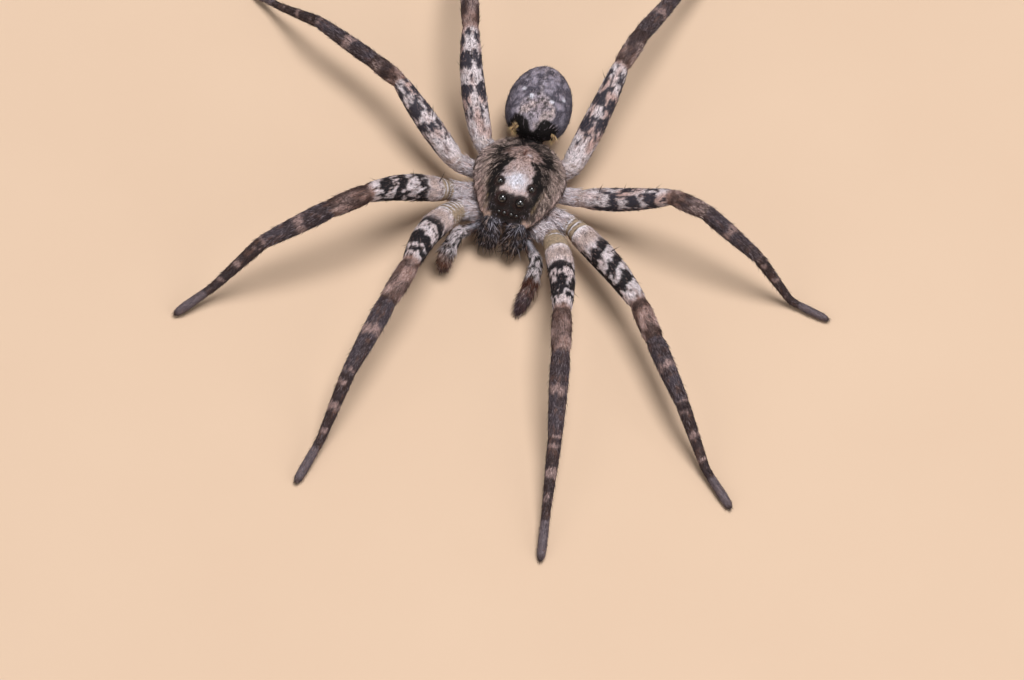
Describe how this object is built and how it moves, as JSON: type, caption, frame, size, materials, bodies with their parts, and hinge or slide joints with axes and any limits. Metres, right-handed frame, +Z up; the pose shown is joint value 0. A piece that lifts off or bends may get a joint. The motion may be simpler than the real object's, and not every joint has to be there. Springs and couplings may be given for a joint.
{
  "type": "wolf spider",
  "caption": "Life-size wolf spider standing on spread, banded legs: low domed head and thorax, grey oval abdomen with black patches, a pale central stripe, glossy dark eyes.",
  "frame": {"origin": "the floor, under the middle of the spider's bounding box", "axes": "+Z up; the spider faces -Y and its left side is +X"},
  "size_m": [0.0432, 0.0532, 0.0067],
  "materials": {
    "carapace_coat": "short lying hair, dark brown bands either side of a pale stripe",
    "abdomen_coat": "short velvety hair, charcoal grey with a pale, dotted wedge and two black patches",
    "underside": "short grey-brown hair",
    "upper_leg_coat": "whitish hair with broken black rings",
    "middle_leg_coat": "brown and pinkish grey mottled hair",
    "foot_coat": "dark slate-brown hair, faint pale spots",
    "palp_coat": "speckled black and white hair, dark brown tip",
    "jaws": "black horn under silver-grey bristles",
    "fangs": "polished dark red-brown horn",
    "eyes": "wet, glossy black"
  },
  "bodies": {
    "root": {"abdomen": "abdomen_coat", "carapace": "carapace_coat", "chelicera_left": "jaws", "chelicera_right": "jaws", "eye_front_middle_left": "eyes", "eye_front_middle_right": "eyes", "eye_front_side_left": "eyes", "eye_front_side_right": "eyes", "eye_top_middle_left": "eyes", "eye_top_middle_right": "eyes", "eye_top_rear_left": "eyes", "eye_top_rear_right": "eyes", "fang_left": "fangs", "fang_right": "fangs", "leg_1_left_coxa": "upper_leg_coat", "leg_1_left_femur": "upper_leg_coat", "leg_1_left_foot": "foot_coat", "leg_1_left_patella": "middle_leg_coat", "leg_1_left_tibia": "middle_leg_coat", "leg_1_right_coxa": "upper_leg_coat", "leg_1_right_femur": "upper_leg_coat", "leg_1_right_foot": "foot_coat", "leg_1_right_patella": "middle_leg_coat", "leg_1_right_tibia": "middle_leg_coat", "leg_2_left_coxa": "upper_leg_coat", "leg_2_left_femur": "upper_leg_coat", "leg_2_left_foot": "foot_coat", "leg_2_left_patella": "middle_leg_coat", "leg_2_left_tibia": "middle_leg_coat", "leg_2_right_coxa": "upper_leg_coat", "leg_2_right_femur": "upper_leg_coat", "leg_2_right_foot": "foot_coat", "leg_2_right_patella": "middle_leg_coat", "leg_2_right_tibia": "middle_leg_coat", "leg_3_left_coxa": "upper_leg_coat", "leg_3_left_femur": "upper_leg_coat", "leg_3_left_foot": "foot_coat", "leg_3_left_patella": "middle_leg_coat", "leg_3_left_tibia": "middle_leg_coat", "leg_3_right_coxa": "upper_leg_coat", "leg_3_right_femur": "upper_leg_coat", "leg_3_right_foot": "foot_coat", "leg_3_right_patella": "middle_leg_coat", "leg_3_right_tibia": "middle_leg_coat", "leg_4_left_coxa": "upper_leg_coat", "leg_4_left_femur": "upper_leg_coat", "leg_4_left_foot": "foot_coat", "leg_4_left_patella": "middle_leg_coat", "leg_4_left_tibia": "middle_leg_coat", "leg_4_right_coxa": "upper_leg_coat", "leg_4_right_femur": "upper_leg_coat", "leg_4_right_foot": "foot_coat", "leg_4_right_patella": "middle_leg_coat", "leg_4_right_tibia": "middle_leg_coat", "palp_left": "palp_coat", "palp_right": "palp_coat", "pedicel": "underside", "spinnerets": "abdomen_coat", "sternum": "underside"}
  },
  "joints": []
}
